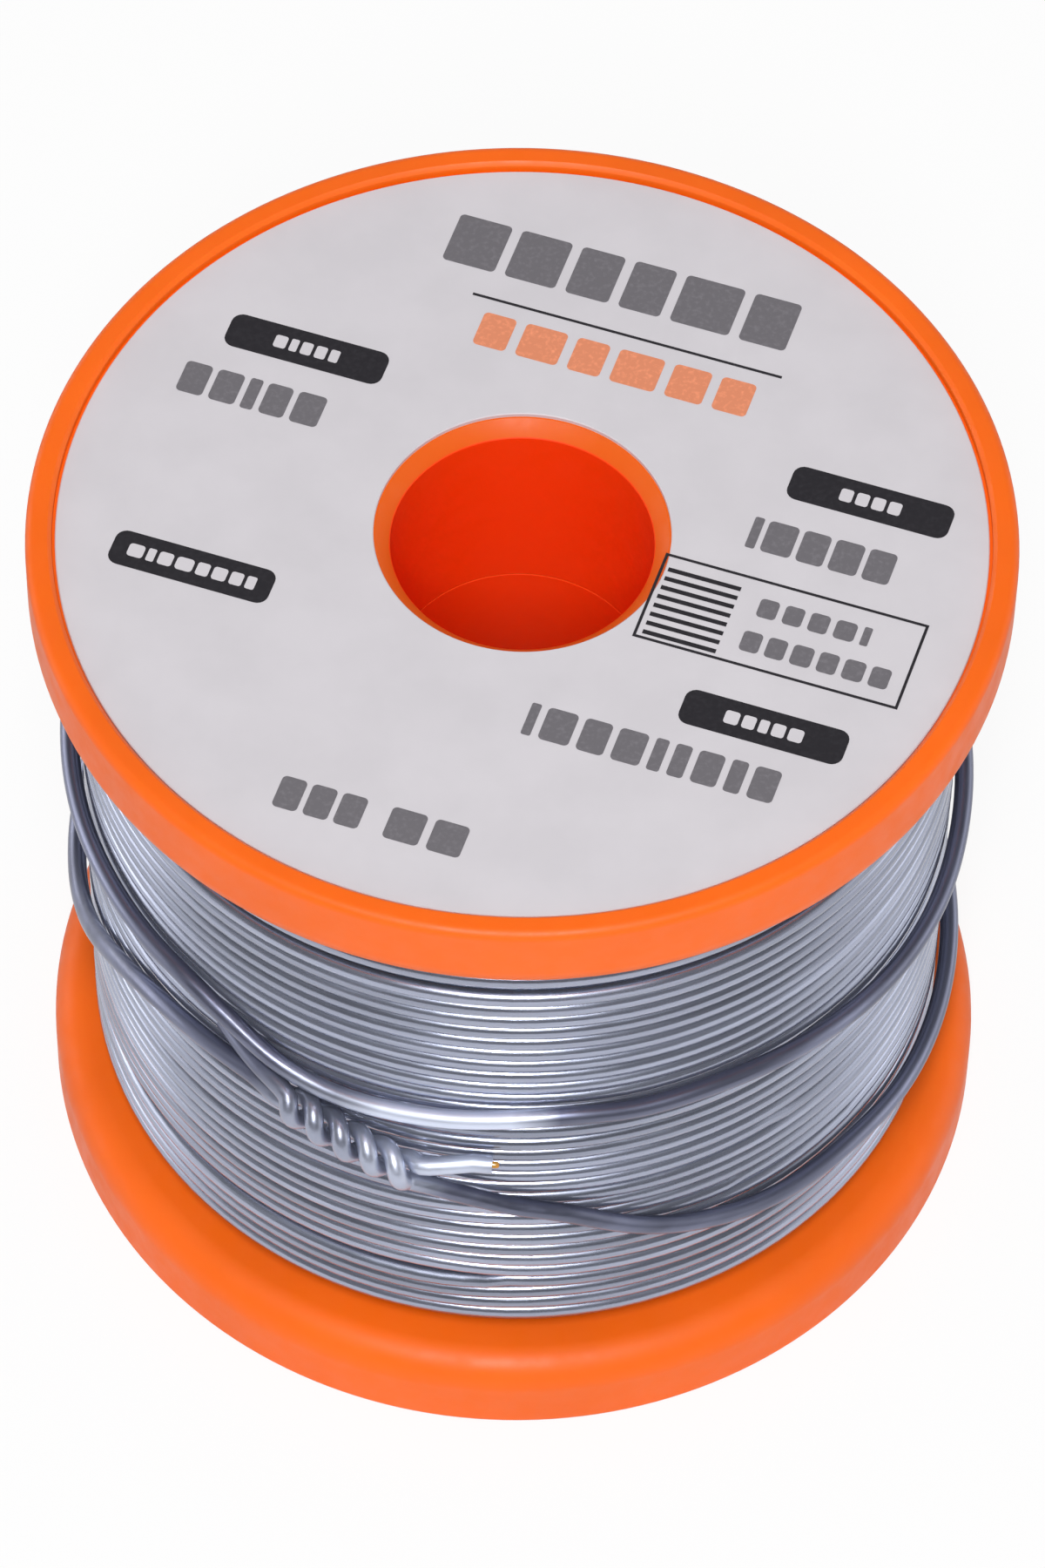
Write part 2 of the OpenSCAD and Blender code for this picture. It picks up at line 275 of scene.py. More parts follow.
def sector_arc(s, r, z, inset=0, edge=False):
    """Points of one sector's arc from rib to rib, or on to the ribs' middles."""
    sector = math.tau / s.rib_count
    corner = math.asin((s.rib_t / 2 + inset) / r)
    clear = corner + CORNER_CLEAR * sector / SECTOR_STEPS
    steps = [sector * i / SECTOR_STEPS for i in range(SECTOR_STEPS + 1)]
    angles = [corner] + [a for a in steps if clear < a < sector - clear] + [sector - corner]
    if edge:
        angles = [0] + angles + [sector]
    return [(r * math.cos(a), r * math.sin(a), z) for a in angles]


def circle_arc(s, r, z):
    """Points of one sector's arc on a plain circle."""
    steps = [math.tau / s.rib_count * i / SECTOR_STEPS for i in range(SECTOR_STEPS + 1)]
    return [(r * math.cos(a), r * math.sin(a), z) for a in steps]


def add_face(bm, points):
    return bm.faces.new([bm.verts.new(p) for p in points])


def add_pocket(bm, s, inner, outer):
    """A pocket between two ribs, its walls drafted up to the web."""
    web = s.flange_t - s.web_t
    mouth = sector_arc(s, inner, s.seat_depth) + sector_arc(s, outer, s.seat_depth)[::-1]
    floor = (
        sector_arc(s, inner + DRAFT, web, DRAFT) + sector_arc(s, outer - DRAFT, web, DRAFT)[::-1]
    )
    add_face(bm, floor)
    count = len(mouth)
    for i in range(count):
        j = (i + 1) % count
        add_face(bm, [mouth[i], mouth[j], floor[j], floor[i]])


def add_band(bm, inner, outer):
    """A flat face between two arcs, level with the label seat."""
    add_face(bm, inner + outer[::-1])


def add_rib_halves(bm, s, inner, outer):
    """The flat tops of half a rib at each side of a pocket."""
    low, high = (sector_arc(s, r, s.seat_depth, edge=True) for r in (inner, outer))
    add_face(bm, [low[0], low[1], high[1], high[0]])
    add_face(bm, [low[-2], low[-1], high[-1], high[-2]])


def add_ribbed_face(bm, s):
    """One sector of the face under the label seat, repeated round the bore."""
    z, half_rib = s.seat_depth, s.rib_t / 2
    boss, ring = s.hub_d / 2 + BOSS_W, s.rib_ring_d / 2
    wall, seat = s.flange_d / 2 - s.rim_w, s.flange_d / 2 - s.lip_w
    sector = bmesh.new()
    pockets = [(boss, ring - half_rib), (ring + half_rib, wall)]
    for inner, outer in pockets:
        add_pocket(sector, s, inner, outer)
        add_rib_halves(sector, s, inner, outer)
    mouth = circle_arc(s, s.bore_d / 2 + s.lead_in, z)
    ring_edges = (sector_arc(s, ring + side * half_rib, z, edge=True) for side in (-1, 1))
    add_band(sector, mouth, sector_arc(s, boss, z, edge=True))
    add_band(sector, *ring_edges)
    add_band(sector, sector_arc(s, wall, z, edge=True), circle_arc(s, seat, z))
    mesh = mesh_from(sector, "sector")
    for i in range(s.rib_count):
        mesh.transform(Matrix.Rotation(math.tau / s.rib_count, 4, "Z"))
        bm.from_mesh(mesh)
    bpy.data.meshes.remove(mesh)


def half_mesh(name, s, hub_points):
    """One half as it stands on its face."""
    bore = s.bore_d / 2
    lead_in = [(bore, s.seat_depth + s.lead_in), (bore + s.lead_in, s.seat_depth)]
    bm = spin_profile(flange_outline(s) + hub_points + lead_in, SPIN_STEPS, closed=False)
    add_ribbed_face(bm, s)
    bmesh.ops.remove_doubles(bm, verts=bm.verts, dist=MERGE)
    bmesh.ops.recalc_face_normals(bm, faces=bm.faces)
    return mesh_from(bm, name)


def bead(r, z):
    """Snap bead on the spigot and in its socket."""
    return [(r, z - BEAD_HALF), (r + BEAD_H, z), (r, z + BEAD_HALF)]


def make_lower_half(s, material):
    bore, hub = s.bore_d / 2, s.hub_d / 2
    spigot = bore + s.spigot_t
    top = LOWER_HALF[1].z
    hub_points = [(hub, s.joint_z), (spigot, s.joint_z)] + bead(spigot, top - BEAD_INSET)
    hub_points += [(spigot, top - SPIGOT_TIP), (spigot - SPIGOT_TIP, top), (bore, top)]
    piece = new_object("spool_lower", half_mesh("spool_lower", s, hub_points))
    add_bevel(piece)
    cutter = start_hole(s)
    cut = piece.modifiers.new("start hole", "BOOLEAN")
    cut.operation = "DIFFERENCE"
    cut.solver = "EXACT"
    cut.object = cutter
    apply_modifiers(piece)
    bpy.data.objects.remove(cutter)
    add_flat_shading(piece)
    finish_piece(piece, material, ["lower_half"])


def start_hole(s):
    """The hole through the lower web, in the middle of a pocket beside the hub."""
    middle = start_hole_place(s)
    bm = bmesh.new()
    bmesh.ops.create_cone(
        bm, cap_ends=True, segments=HOLE_STEPS, radius1=s.hole_d / 2, radius2=s.hole_d / 2,
        depth=2 * s.web_t,
        matrix=Matrix.Translation((middle.x, middle.y, s.flange_t - s.web_t / 2))
    )
    return new_object("start_hole", mesh_from(bm, "start_hole"))


def start_hole_place(s):
    angle = math.tau / s.rib_count * START_POCKET
    r = s.hub_d / 2 + BOSS_W + s.hole_d / 2
    return Vector((r * math.cos(angle), r * math.sin(angle), 0))


def make_upper_half(s, material):
    bore, hub = s.bore_d / 2, s.hub_d / 2
    socket = bore + s.spigot_t + SPIGOT_GAP
    meet = s.height - UPPER_HALF[0].z
    bottom = s.height - LOWER_HALF[1].z - FACE_GAP
    hub_points = [(hub, meet), (socket, meet)]
    hub_points += bead(socket, s.height - LOWER_HALF[1].z + BEAD_INSET)
    hub_points += [(socket, bottom), (bore, bottom)]
    mesh = half_mesh("spool_upper", s, hub_points)
    mesh.transform(Matrix.Translation((0, 0, s.height)) @ Matrix.Rotation(math.pi, 4, "X"))
    piece = new_object("spool_upper", mesh)
    add_bevel(piece)
    apply_modifiers(piece)
    add_flat_shading(piece)
    finish_piece(piece, material, ["upper_half"])


# ---- The label ----

LABEL_EDGE = 0.06 * MM
INK_T = 0.02 * MM
INK_LIFT = 0.005 * MM

# From here to the hatch, sizes are in mm on the upright label.
# Blocks in a row are rounded by this share of their width, up to this much
BLOCK_ROUND = (0.22, 0.3)
ROUND_STEPS = 5

# Rows: middle across, middle up, then the widths of the blocks in the row, their
# height and the gap between them
TITLE_ROW = (-0.4, 20.3, [3.4, 3.3, 2.8, 2.7, 3.8, 3.0], 3.8, 0.65)
ORANGE_ROW = (1.2, 14.0, [2.1, 2.7, 2.1, 2.9, 2.4, 2.2], 2.6, 0.64)
VALUE_ROWS = [
    (-19.0, 4.5, [1.7, 1.7, 0.8, 1.6, 1.8], 2.4, 0.38),
    (17.5, 4.5, [0.6, 1.9, 1.7, 1.8, 1.7], 2.4, 0.33),
    (12.5, -13.1, [0.6, 1.9, 1.7, 1.8, 0.8, 1.0, 1.6, 1.0, 1.6], 2.4, 0.45),
    (-4.8, -22.9, [1.55, 1.55, 1.55], 2.3, 0.35),
    (1.8, -22.9, [2.2, 2.1], 2.3, 0.5),
]

# Bars: the middle of each, across and up, and the widths of the blocks in it
BARS = [(-17.0, 8.9), (-17.9, -9.1), (19.2, 9.0), (18.2, -9.1)]
BAR_SIZE = (10.2, 2.6)
BAR_ROUND = 0.7
BAR_ROWS = [
    [0.8, 0.5, 0.7, 0.7, 0.6], [1.0, 0.5, 0.9, 1.1, 0.8, 0.9, 0.8, 0.6],
    [0.8, 0.8, 0.8, 0.8], [0.9, 0.8, 0.6, 0.8, 0.9],
]
BAR_ROW_H = 0.95
BAR_ROW_GAP = 0.22

# Lines: middle across, middle up, width and height, and the number in the hatch
RULE = (1.2, 16.4, 20.0, 0.18)
BOX = (17.0, -2.0, 16.4, 6.4)
BOX_LINE = 0.18
BOX_ROWS = [
    (18.7, -0.75, [1.2, 1.2, 1.2, 1.3, 0.5], 1.4, 0.4),
    (19.6, -3.4, [1.2, 1.2, 1.3, 1.2, 1.3, 1.2], 1.5, 0.37),
]
HATCH = (11.5, -2.3, 4.6, 4.9, 8)
HATCH_LINE = 0.3


def label_place(s, u, v):
    """A place on the upright label in mm, as a point on the turned one."""
    flat = Vector((u * MM, v * MM, 0))
    flat.rotate(Matrix.Rotation(s.print_turn, 3, "Z"))
    return flat


def print_block(bm, s, u, v, w, h, corner, level=0):
    """A block of ink with rounded corners; level 1 lies on top of other ink."""
    base = LABEL[1].z + INK_LIFT + level * INK_T
    turned = Matrix.Rotation(s.print_turn, 4, "Z")
    place = Matrix.Translation(label_place(s, u, v) + Vector((0, 0, base))) @ turned
    size = Matrix.Diagonal((w * MM, h * MM, 1, 1))
    made = bmesh.ops.create_grid(bm, x_segments=1, y_segments=1, size=0.5, matrix=place @ size)
    verts = made["verts"]
    if corner > 0:
        verts = bmesh.ops.bevel(
            bm, geom=verts, offset=corner * MM, offset_type="OFFSET", segments=ROUND_STEPS,
            profile=0.5, affect="VERTICES", material=-1
        )["verts"]
    faces = list({f for v in verts for f in v.link_faces})
    raised = bmesh.ops.extrude_face_region(bm, geom=faces, use_keep_orig=True)
    lifted = [g for g in raised["geom"] if isinstance(g, bmesh.types.BMVert)]
    bmesh.ops.translate(bm, vec=(0, 0, INK_T), verts=lifted)


def print_row(bm, s, row, level=0):
    u, v, widths, h, gap = row
    share, most = BLOCK_ROUND
    left = u - (sum(widths) + gap * (len(widths) - 1)) / 2
    for w in widths:
        print_block(bm, s, left + w / 2, v, w, h, min(share * w, most), level)
        left += w + gap


def finish_print(bm, name, material):
    bmesh.ops.recalc_face_normals(bm, faces=bm.faces)
    piece = new_object(name, mesh_from(bm, name))
    finish_piece(piece, material)


def make_label(s, material):
    r, hole = s.label_d / 2, s.label_hole_d / 2
    low, high = LABEL[0].z, LABEL[1].z
    profile = [
        (hole, low), (r, low), (r, high - LABEL_EDGE), (r - LABEL_EDGE, high),
        (hole + LABEL_EDGE, high), (hole, high - LABEL_EDGE),
    ]
    bm = spin_profile(profile, SPIN_STEPS)
    piece = new_object("label_disc", mesh_from(bm, "label_disc"))
    finish_piece(piece, material, ["label"])


def make_print(s, black, grey, orange, card):
    bars = bmesh.new()
    for u, v in BARS:
        print_block(bars, s, u, v, *BAR_SIZE, BAR_ROUND)
    finish_print(bars, "print_bars", black)

    marks = bmesh.new()
    for (u, v), widths in zip(BARS, BAR_ROWS):
        print_row(marks, s, (u, v, widths, BAR_ROW_H, BAR_ROW_GAP), level=1)
    finish_print(marks, "print_bar_marks", card)

    rows = bmesh.new()
    print_row(rows, s, TITLE_ROW)
    for row in VALUE_ROWS + BOX_ROWS:
        print_row(rows, s, row)
    finish_print(rows, "print_rows", grey)

    lines = bmesh.new()
    u, v, w, h = RULE
    print_block(lines, s, u, v, w, h, 0)
    u, v, w, h = BOX
    for side in (-1, 1):
        print_block(lines, s, u, v + side * h / 2, w + BOX_LINE, BOX_LINE, 0)
        print_block(lines, s, u + side * w / 2, v, BOX_LINE, h - BOX_LINE, 0)
    u, v, w, h, count = HATCH
    for i in range(count):
        print_block(lines, s, u, v + h * (i / (count - 1) - 0.5), w, HATCH_LINE, 0)
    finish_print(lines, "print_lines", black)

    orange_row = bmesh.new()
    print_row(orange_row, s, ORANGE_ROW)
    finish_print(orange_row, "print_orange_row", orange)


# ---- The wire ----

# Steps along the wire, in degrees round the spool, and sides round it
OUTER_STEP, OUTER_SIDES = 3, 12
INNER_STEP, INNER_SIDES = 5, 8
SLACK_STEP, SLACK_SIDES = 1.5, 16
TUBE_MERGE = 1e-7

# A turn lies level for this share of it, from this angle in degrees
LEVEL_SHARE = 0.58
LEVEL_FROM = 165

# How far turns stray, how fast that changes round a turn and from turn to turn,
# how heights differ from it, and the turns over which it starts and ends
UNEVEN = 0.035 * MM
UNEVEN_ROUND, UNEVEN_TURN = 1.1, 0.9
UNEVEN_HEIGHT = (1.3, Vector((7, 3, 0)))
UNEVEN_ENDS = 1.5
OUTER_SEED, INNER_SEED = 0, 50

# Gaps that have opened between turns: height in mm and angle in degrees at one
# end, both at the other end, and width in mm. The last is below the upper flange
OPEN_GAPS = [
    (21.7, 224, 21.6, 249, 0.35),
    (22.8, 288, 23.3, 312, 0.3),
    (18.8, 295, 17.6, 315, 0.3),
    (13.1, 214, 12.4, 257, 0.95),
    (28.9, 250, 28.9, 272, 0.25),
    (45.05, 215, 45.05, 335, 1.0),
]
# How far beside a gap turns are pushed, in mm, and past its ends, in degrees
GAP_REACH = 2.2
GAP_FADE = 20


def tube(name, points, d, sides):
    """A round tube through the points, with closed flat ends."""
    curve = bpy.data.curves.new(name, "CURVE")
    curve.dimensions = "3D"
    curve.fill_mode = "FULL"
    curve.bevel_depth = d / 2
    curve.bevel_resolution = (sides - 4) // 2
    curve.use_fill_caps = True
    spline = curve.splines.new("POLY")
    spline.points.add(len(points) - 1)
    spline.points.foreach_set("co", [c for p in points for c in (*p, 1)])
    route = new_object(name + "_route", curve)
    graph = bpy.context.evaluated_depsgraph_get()
    mesh = bpy.data.meshes.new_from_object(route.evaluated_get(graph))
    mesh.name = name
    bpy.data.objects.remove(route)
    bm = bmesh.new()
    bm.from_mesh(mesh)
    bmesh.ops.remove_doubles(bm, verts=bm.verts, dist=TUBE_MERGE)
    bmesh.ops.recalc_face_normals(bm, faces=bm.faces)
    bm.to_mesh(mesh)
    bm.free()
    return new_object(name, mesh)


def smooth(u):
    u = min(max(u, 0), 1)
    return u * u * (3 - 2 * u)


def gap_shift(angle, z):
    """How far a turn at this angle and height is pushed aside by the open gaps."""
    shift = 0
    for z_a, a, z_b, b, gap in OPEN_GAPS:
        opening = smooth((angle - a + GAP_FADE) / GAP_FADE)
        inside = opening * smooth((b + GAP_FADE - angle) / GAP_FADE)
        if inside == 0:
            continue
        middle = (z_a + (z_b - z_a) * (angle - a) / (b - a)) * MM
        away = (z - middle) / MM
        side = math.copysign(1, away)
        shift += side * gap / 2 * math.exp(-abs(away) / GAP_REACH) * inside
    return shift * MM


def level_turns(r, z_low, z_high, turns, step, seed):
    """Turns that lie level round the front and climb one wire round the back."""
    pitch = (z_high - z_low) / turns
    count = round((turns + LEVEL_SHARE) * 360 / step)
    points = []
    for i in range(count + 1):
        run = i * step / 360
        turn, share = divmod(run, 1)
        climb = smooth((share - LEVEL_SHARE) / (1 - LEVEL_SHARE))
        angle = (LEVEL_FROM + run * 360) % 360
        z = z_low + pitch * (turn + climb)
        at = Vector((math.cos(math.radians(angle)), math.sin(math.radians(angle)), 0))
        near = at * UNEVEN_ROUND + Vector((0, 0, seed + turn * UNEVEN_TURN))
        out = r + UNEVEN * noise.noise(near)
        pace, offset = UNEVEN_HEIGHT
        stray = UNEVEN * noise.noise(near * pace + offset)
        fade = smooth(min(run, turns + LEVEL_SHARE - run) / UNEVEN_ENDS)
        z += fade * (stray + gap_shift(angle, z))
        points.append(Vector((out * at.x, out * at.y, z)))
    return points


def make_winding(w, material):
    """The outer turns lie in the grooves of the layer below, and the lowest of them
    is left out, so that the layer below shows beside the lower flange."""
    layer_r = w.winding_d / 2 - w.wire_d / 2
    low = CORE[0].z + w.wire_d / 2
    high = CORE[1].z - w.wire_d / 2
    pitch = (high - low) / w.turns
    depth = math.sqrt(3) / 2 * w.wire_d
    outer_route = level_turns(
        layer_r, low + 1.5 * pitch, high - 0.5 * pitch, w.turns - 2, OUTER_STEP, OUTER_SEED
    )
    outer = tube("winding_outer_turns", outer_route, w.wire_d, OUTER_SIDES)
    finish_piece(outer, material, ["winding_outer_layer"])
    inner_route = level_turns(layer_r - depth, low, high, w.turns, INNER_STEP, INNER_SEED)
    inner = tube("winding_inner_turns", inner_route, w.wire_d, INNER_SIDES)
    finish_piece(inner, material, ["winding_core"])


# The twist: lift in wire diameters, heights as shares from the lower slack turn to
# the upper one, half turns, steps along it, and the degrees it takes to lead in
TWIST_LIFT = 0.63
TWIST_HIGH = 0.853
TWIST_LOW = 0.655
TWIST_HALVES = 5
TWIST_STEPS = 90
LEAD_ANGLE = 2
# Where the front of the upper turn is painted with a highlight, in degrees round the spool
PAINTED_HIGHLIGHT_TURN = 262

# Stations of the slack wire: degrees round the spool, height as a share from the
# lower turn to the upper one, lift off the winding in wire diameters. One strand
# goes over into the next at the two join angles; the tip counts from the twist's end
JOIN_ANGLES = (540, 900)
DIVE = [(229, 0.905, -0.9), (232, 0.9, -0.55)]
LOWER_TURN = [
    (236, 0.895, 0), (241, 0.887, TWIST_LIFT), (260, 0.615, TWIST_LIFT),
    (269, 0.47, 0), (276, 0.42, 0), (288, 0.245, 0), (301, 0.13, 0),
    (311, 0.092, 0), (321, 0.075, 0), (332, 0.025, 0), (345, 0, 0),
    (358, 0, 0), (372, 0.03, 0), (400, 0.21, 0), (430, 0.45, 0),
    (460, 0.684, 0), (480, 0.842, 0), (500, 0.963, 0), (520, 1.05, 0),
    (540, 1.1, 0),
]
UPPER_TURN = [
    (540, 1.1, 0), (555, 1.09, 0), (566, 1.1, 0),
    (577, 1.1, 0), (585, 1.095, 0), (592, 1.047, 0), (600, 0.963, 0),
    (608, 0.93, 0), (620, 0.945, 0), (636, 0.985, 0), (646, 0.968, 0),
    (657, 0.968, 0), (669, 0.937, 0), (680, 0.897, 0), (691, 0.863, 0),
    (702, 0.845, 0), (712, 0.865, 0), (720, 0.89, 0),
    (735, 0.915, 0), (755, 0.92, 0), (775, 0.895, 0), (790, 0.858, 0),
    (806, 0.81, 0.15), (814, 0.776, 1.13), (832, 0.69, 1.13),
    (842, 0.642, 0.4), (852, 0.595, 0), (870, 0.51, 0), (885, 0.44, 0),
    (900, 0.395, 0),
]
FREE_END = [
    (900, 0.395, 0), (912, 0.463, 0), (920, 0.568, 0),
    (927, 0.679, 0), (935, 0.774, 0), (942, 0.816, 0), (949, 0.826, 0),
    (956, 0.821, 0), (961, 0.82, TWIST_LIFT),
]
TIP = [(0, 0.69, TWIST_LIFT), (3.5, 0.7, 0.25), (7, 0.715, 0.1)]


def span_of(stations, t):
    for i in range(len(stations) - 1):
        if t < stations[i + 1][0]:
            return i
    return len(stations) - 2


def slope(stations, i, column):
    if i <= 0 or i >= len(stations) - 1:
        return 0
    a, b = stations[i - 1], stations[i + 1]
    return (b[column] - a[column]) / (b[0] - a[0])


def station_curve(stations, t, column):
    """Smooth curve through the stations."""
    i = span_of(stations, t)
    a, b = stations[i], stations[i + 1]
    h = b[0] - a[0]
    u = (t - a[0]) / h
    leave = slope(stations, i, column) * h * (u ** 3 - 2 * u ** 2 + u)
    arrive = slope(stations, i + 1, column) * h * (u ** 3 - u ** 2)
    return a[column] + (b[column] - a[column]) * smooth(u) + leave + arrive


def station_ease(stations, t, column):
    """Eased step from station to station, which never dips below them."""
    i = span_of(stations, t)
    a, b = stations[i], stations[i + 1]
    return a[column] + (b[column] - a[column]) * smooth((t - a[0]) / (b[0] - a[0]))


class SlackRoute:
    """The route of the slack wire, as the solids follow it."""

    def __init__(self, w):
        self.w = w
        self.r = w.winding_d / 2 + w.lay_gap + w.wire_d / 2
        self.twist_r = (w.wire_d + w.twist_gap) / 2
        self.rise = (TWIST_LOW - TWIST_HIGH) * (w.upper_turn_z - w.lower_turn_z)
        run = w.twist_pitch * TWIST_HALVES / 2
        self.tilt = math.asin(self.rise / run)
        self.arc = math.degrees(run * math.cos(self.tilt) / self.r)
        self.start = math.degrees(w.twist_angle)
        self.end = self.start + self.arc

    def twist_middle(self):
        angle = self.start + self.arc / 2
        return self.place(angle, self.r + self.twist_r, self.height(TWIST_HIGH) + self.rise / 2)

    def painted_highlight_place(self):
        share = station_curve(UPPER_TURN, 360 + PAINTED_HIGHLIGHT_TURN, 1)
        return self.place(PAINTED_HIGHLIGHT_TURN, self.r, self.height(share))

    def height(self, share):
        return self.w.lower_turn_z + share * (self.w.upper_turn_z - self.w.lower_turn_z)

    def place(self, angle, r, z):
        a = math.radians(angle)
        return Vector((r * math.cos(a), r * math.sin(a), z))

    def strand(self, stations, start, end):
        steps = max(1, round(abs(end - start) / SLACK_STEP))
        points = []
        for i in range(steps + 1):
            t = start + (end - start) * i / steps
            lift = self.w.wire_d * station_ease(stations, t, 2)
            points.append(self.place(t, self.r + lift, self.height(station_curve(stations, t, 1))))
        return points

    def twisted(self, side):
        points = []
        for i in range(TWIST_STEPS + 1):
            u = i / TWIST_STEPS
            phase = math.pi * TWIST_HALVES * u
            across = side * self.twist_r * math.cos(phase)
            shift = math.degrees(-across * math.sin(self.tilt) / self.r)
            points.append(self.place(
                self.start + self.arc * u + shift,
                self.r + self.twist_r * (1 + side * math.sin(phase)),
                self.height(TWIST_HIGH) + self.rise * u + across * math.cos(self.tilt)
            ))
        return points


def eased_corners(points, passes=3):
    """Rounds the small corners where strands and twist meet; both ends stay."""
    for _ in range(passes):
        middle = [(a + 2 * b + c) / 4 for a, b, c in zip(points, points[1:], points[2:])]
        points = [points[0]] + middle + [points[-1]]
    return points


def make_slack_wire(w, material, flux_material):
    route = SlackRoute(w)
    first, second = JOIN_ANGLES
    lower = route.strand(DIVE + LOWER_TURN, DIVE[0][0], route.start - LEAD_ANGLE)
    lower += route.twisted(1)
    lower += route.strand(LOWER_TURN, route.end + 2 * LEAD_ANGLE, first)
    upper = route.strand(UPPER_TURN, first, second)
    free = route.strand(FREE_END, second, 720 + route.start - LEAD_ANGLE)
    free += route.twisted(-1)
    tip = [(route.end + a, share, lift) for a, share, lift in TIP]
    free += route.strand(tip, tip[1][0], tip[2][0])
    along = Vector((-math.sin(math.radians(tip[2][0])), math.cos(math.radians(tip[2][0])), 0))
    free = eased_corners(free)
    free.append(free[-1] + w.wire_d * along)
    for name, points, node in (
        ("slack_lower_strand", eased_corners(lower), "slack_turn_lower"),
        ("slack_upper_strand", upper, "slack_turn_upper"),
        ("free_end_strand", free, "free_end"),
    ):
        finish_piece(tube(name, points, w.wire_d, SLACK_SIDES), material, [node])
    make_flux_core(w, free[-1], along, flux_material)


# The bead of flux: how deep it sits in the cut end, and its steps
FLUX_SEAT = 0.05 * MM
FLUX_STEPS, FLUX_ARC_STEPS = 24, 6


def make_flux_core(w, end, along, material):
    """A low bead of rosin that stands out of the cut end."""
    r = w.flux_d / 2
    profile = [(0, -FLUX_SEAT), (r, -FLUX_SEAT)] + arc(0, r, r, 0, 90, FLUX_ARC_STEPS)
    bm = spin_profile(profile, FLUX_STEPS, closed=False)
    bmesh.ops.remove_doubles(bm, verts=bm.verts, dist=MERGE)
    bmesh.ops.recalc_face_normals(bm, faces=bm.faces)
    turned = along.to_track_quat("Z", "Y").to_matrix().to_4x4()
    bmesh.ops.transform(bm, matrix=Matrix.Translation(end) @ turned, verts=bm.verts)
    piece = new_object("flux_bead", mesh_from(bm, "flux_bead"))
    finish_piece(piece, material, ["flux_core"])


# The hook of the wire's start: bend in wire diameters, drop below the web, gap
# to the rib ring, and the steps of the bend
START_BEND = 1.25
START_DROP = 1.1 * MM
START_GAP = 0.4 * MM
START_STEPS = 12


def make_wire_start(s, w, material):
    """Down through the web and outwards along a pocket."""
    middle = start_hole_place(s)
    outwards = middle.normalized()
    bend = START_BEND * w.wire_d
    low = s.flange_t - s.web_t - START_DROP
    reach = s.rib_ring_d / 2 - s.rib_t / 2 - START_GAP
    points = [middle + Vector((0, 0, WIRE_START[1].z))]
    for i in range(START_STEPS + 1):
        a = math.pi / 2 * i / START_STEPS
        z = low + bend * (1 - math.sin(a))
        points.append(middle + outwards * bend * (1 - math.cos(a)) + Vector((0, 0, z)))
    points.append(outwards * reach + Vector((0, 0, low)))
    piece = tube("wire_start_hook", points, w.wire_d, SLACK_SIDES)
    finish_piece(piece, material, ["wire_start"])


# ---- Materials ----


def node(tree, kind, inputs=None, **settings):
    """Adds a node with its settings; an input is a value or a socket to link from."""
    made = tree.nodes.new(kind)
    for name, value in settings.items():
        setattr(made, name, value)
    for name, value in (inputs or {}).items():
        if isinstance(value, bpy.types.NodeSocket):
            tree.links.new(value, made.inputs[name])
        else:
            made.inputs[name].default_value = value
    return made


def new_material(name, inputs=None):
    """A material with one shader, whose plain inputs are given by name."""
    material = bpy.data.materials.new(name)
    material.use_nodes = True
    tree = material.node_tree
    tree.nodes.clear()
    shader = node(tree, "ShaderNodeBsdfPrincipled", inputs)
    output = node(tree, "ShaderNodeOutputMaterial")
    tree.links.new(shader.outputs["BSDF"], output.inputs["Surface"])
    place = node(tree, "ShaderNodeTexCoord").outputs["Object"]
    return material, tree, shader, place


def link_up(tree, shader, base, rough=None, normal=None):
    """Links a shader's colour and, where they vary, its roughness and relief."""
    for name, value in (("Base Color", base), ("Roughness", rough), ("Normal", normal)):
        if value is not None:
            tree.links.new(value, shader.inputs[name])


def per_mm(size):
    """Noise scale for features of this size in mm, as the coordinates are metres."""
    return 1000 / size


def grain(tree, place, size, detail=2.0):
    made = node(
        tree, "ShaderNodeTexNoise",
        {"Vector": place, "Scale": per_mm(size), "Detail": detail, "Roughness": 0.55}
    )
    return made.outputs["Fac"]


def ranged(tree, value, low, high, start=0.35, end=0.65):
    """A value spread between two others."""
    made = node(
        tree, "ShaderNodeMapRange",
        {"Value": value, "From Min": start, "From Max": end, "To Min": low, "To Max": high}
    )
    return made.outputs["Result"]


def maths(tree, operation, a, b):
    return node(tree, "ShaderNodeMath", {0: a, 1: b}, operation=operation).outputs["Value"]


def measured(tree, operation, *vectors):
    """A number that vectors give, such as a distance."""
    inputs = dict(enumerate(vectors))
    return node(tree, "ShaderNodeVectorMath", inputs, operation=operation).outputs["Value"]


def apart_from_axis(tree, place):
    """A place's three coordinates, and its distance from the bore's axis."""
    apart = node(tree, "ShaderNodeSeparateXYZ", {"Vector": place}).outputs
    flat = node(tree, "ShaderNodeCombineXYZ", {"X": apart["X"], "Y": apart["Y"]})
    return apart, measured(tree, "LENGTH", flat.outputs["Vector"])


def blended(tree, share, a, b):
    made = node(tree, "ShaderNodeMix", {0: share, 6: a, 7: b}, data_type="RGBA")
    return made.outputs[2]


def bump(tree, height, strength, distance, normal=None):
    inputs = {"Height": height, "Strength": strength, "Distance": distance}
    if normal is not None:
        inputs["Normal"] = normal
    return node(tree, "ShaderNodeBump", inputs).outputs["Normal"]


def tinted(colour_value, factor=1):
    return [min(1, c * factor) for c in colour_value] + [1]


# How far outside the lead-in and the bore's wall their painted shade and bounce light fade out
LEAD_IN_FADE = (0.02 * MM, 0.12 * MM)
BORE_FADE = (0.02 * MM, 0.1 * MM)
# Painted shade: the lead-in is this much darker than the plastic
LEAD_IN_PAINTED_SHADE = 0.82


